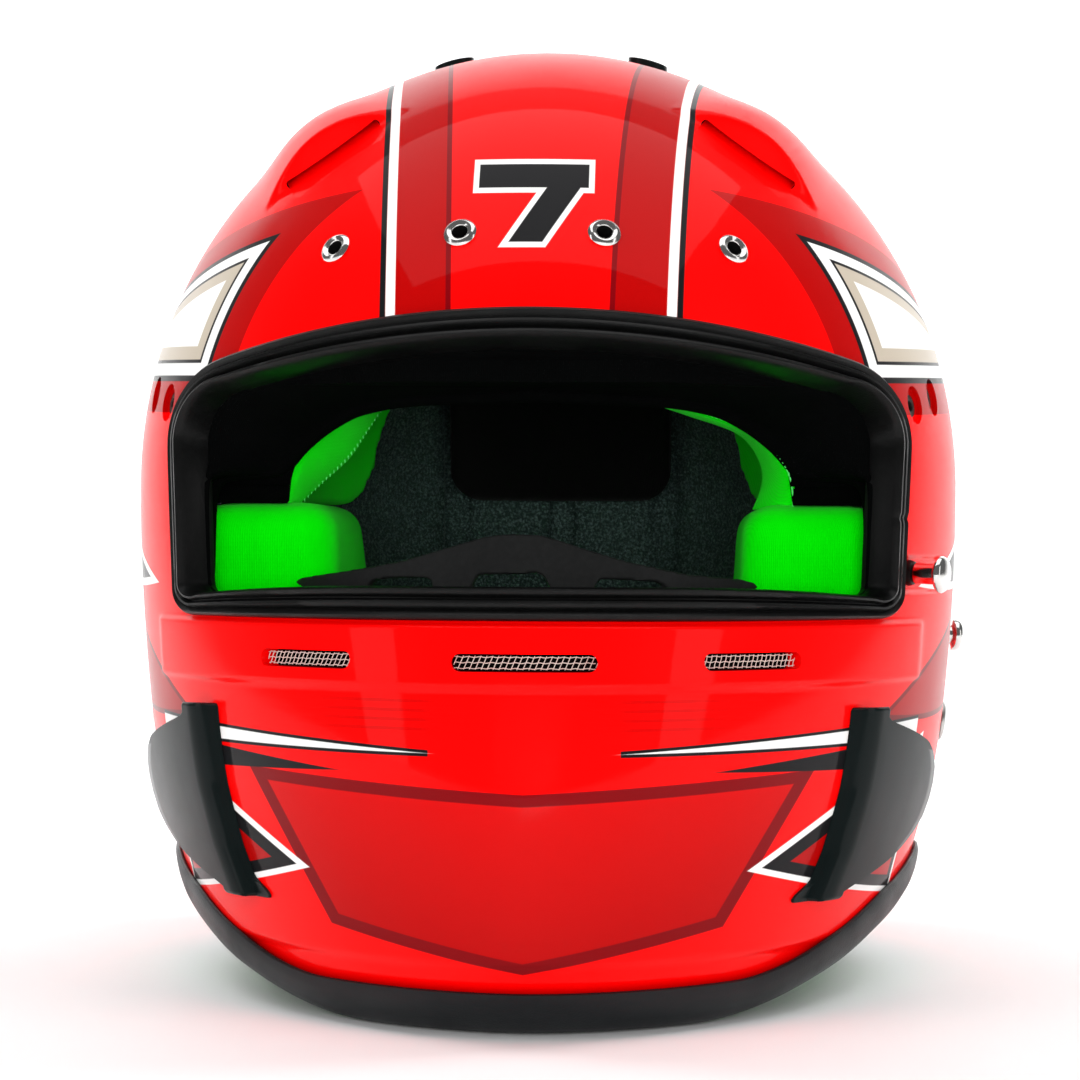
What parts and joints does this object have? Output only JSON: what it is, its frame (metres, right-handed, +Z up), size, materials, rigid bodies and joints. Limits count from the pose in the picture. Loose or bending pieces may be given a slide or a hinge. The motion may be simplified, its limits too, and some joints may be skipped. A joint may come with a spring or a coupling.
{
  "type": "auto racing helmet",
  "caption": "Full-face auto racing helmet with open eyeport, padded liner, chin vents, side winglets, tether posts and a chin strap with swinging rings.",
  "frame": {"origin": "centre of the helmet's overall length and width, on the plane that its base edging rests on", "axes": "+Z up through the crown, -Y is the way the wearer faces, +X is the wearer's left"},
  "size_m": [0.2642, 0.3281, 0.2796],
  "materials": {
    "painted_shell": "clear-coated red paint with cream, black and deep red stripes over a moulded composite shell",
    "edge_rubber": "matte black extruded edging",
    "seal_rubber": "satin black moulded rubber",
    "bead_foam": "dark expanded bead foam",
    "black_fabric": "black flame resistant knit over foam",
    "green_fabric": "bright green flame resistant knit over foam",
    "vent_mesh": "woven wire",
    "winglet_black": "gloss black moulding",
    "bright_metal": "polished",
    "plated_steel": "zinc plated",
    "dark_insert": "dull threaded insert",
    "webbing": "black woven webbing",
    "ring_steel": "welded steel wire"
  },
  "bodies": {
    "helmet": {"outer_shell": "painted_shell", "base_trim": "edge_rubber", "eyeport_seal": "seal_rubber", "crown_liner": "bead_foam", "chin_liner": "bead_foam", "headliner_centre": "black_fabric", "brow_pad": "black_fabric", "neck_roll": "black_fabric", "breath_deflector": "seal_rubber", "vent_mesh_centre": "vent_mesh", "vent_mesh_left": "vent_mesh", "vent_mesh_right": "vent_mesh", "cheek_pad_left": "green_fabric", "cheek_block_left": "bead_foam", "headliner_side_left": "green_fabric", "top_vent_left": "winglet_black", "winglet_left": "winglet_black", "anchor_post_left": "bright_metal", "cheek_pad_right": "green_fabric", "cheek_block_right": "bead_foam", "headliner_side_right": "green_fabric", "top_vent_right": "winglet_black", "winglet_right": "winglet_black", "anchor_post_right": "bright_metal", "anchor_nuts": "plated_steel", "vent_eyelets": "bright_metal", "visor_pivot_inserts": "dark_insert", "visor_lock_post": "bright_metal", "visor_lock_nut": "plated_steel", "strap_rivets": "plated_steel", "strap_washers": "plated_steel", "chin_strap_left": "webbing", "chin_strap_right": "webbing"},
    "d_ring_outer": {"d_ring_outer": "ring_steel"},
    "d_ring_inner": {"d_ring_inner": "ring_steel"}
  },
  "joints": [
    {"name": "outer_ring_swing", "type": "hinge", "parent": "helmet", "child": "d_ring_outer", "pos_m": [-0.0493, 0, 0.028], "axis": [0, 1, 0], "range_deg": [0, 100]},
    {"name": "inner_ring_swing", "type": "hinge", "parent": "helmet", "child": "d_ring_inner", "pos_m": [-0.0447, 0, 0.028], "axis": [0, -1, 0], "range_deg": [0, 150]}
  ]
}
